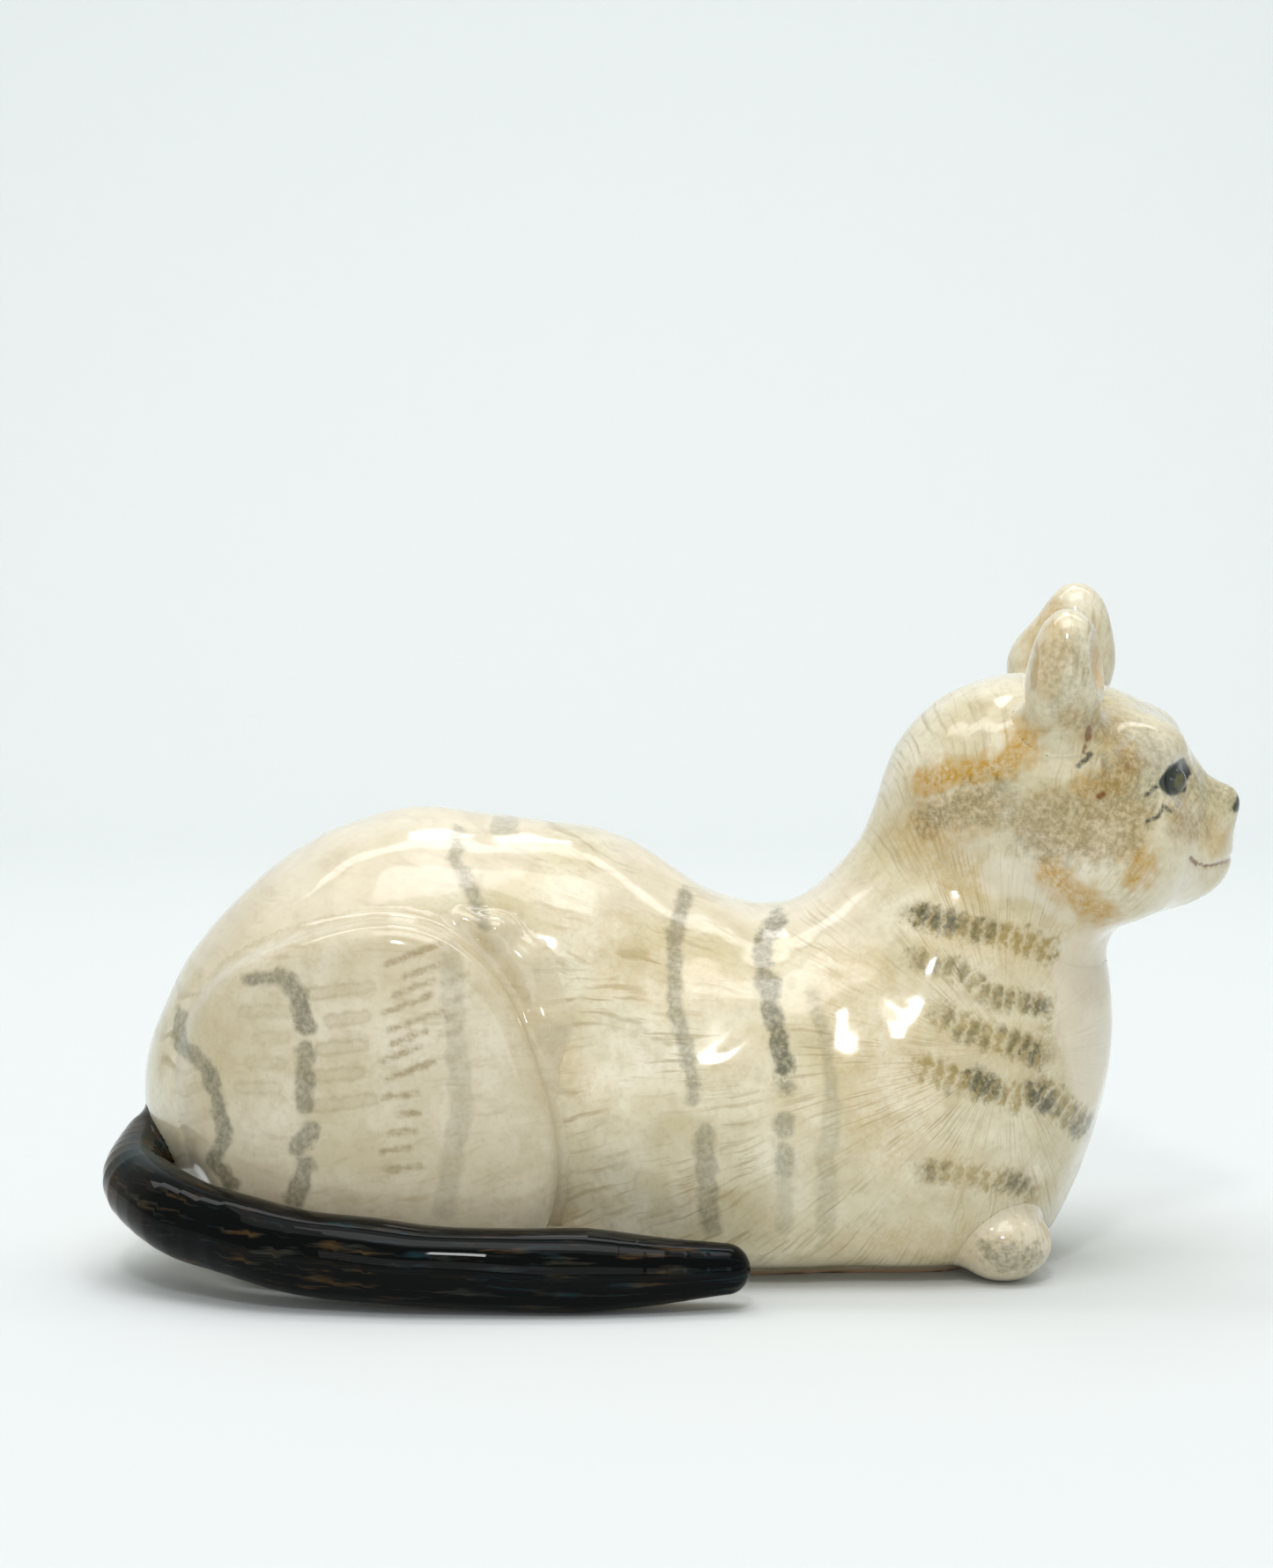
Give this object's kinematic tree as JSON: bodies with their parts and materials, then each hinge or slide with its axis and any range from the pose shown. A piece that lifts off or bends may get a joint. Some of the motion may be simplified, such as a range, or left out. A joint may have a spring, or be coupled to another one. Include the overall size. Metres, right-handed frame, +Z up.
{
  "type": "ceramic cat figurine",
  "caption": "Glazed ceramic figurine of a cat lying down with its head raised and its tail along one flank, standing on a flat unglazed foot.",
  "frame": {"origin": "centre line of the figurine on the flat foot that it stands on, under the middle of the body", "axes": "+X toward the nose, +Y toward the cat's left side, +Z up; the tail lies along the right flank, at -Y"},
  "size_m": [0.1948, 0.0957, 0.1173],
  "materials": {
    "cream_glaze": "gloss",
    "thigh_glaze": "gloss",
    "pale_glaze": "gloss",
    "black_glaze": "gloss"
  },
  "bodies": {
    "root": {"body_casting": "cream_glaze", "head_casting": "cream_glaze", "ear_right": "cream_glaze", "ear_left": "cream_glaze", "haunch_right": "thigh_glaze", "haunch_left": "thigh_glaze", "forepaw_right": "pale_glaze", "forepaw_left": "pale_glaze", "hindpaw_right": "pale_glaze", "hindpaw_left": "pale_glaze", "tail": "black_glaze"}
  },
  "joints": []
}
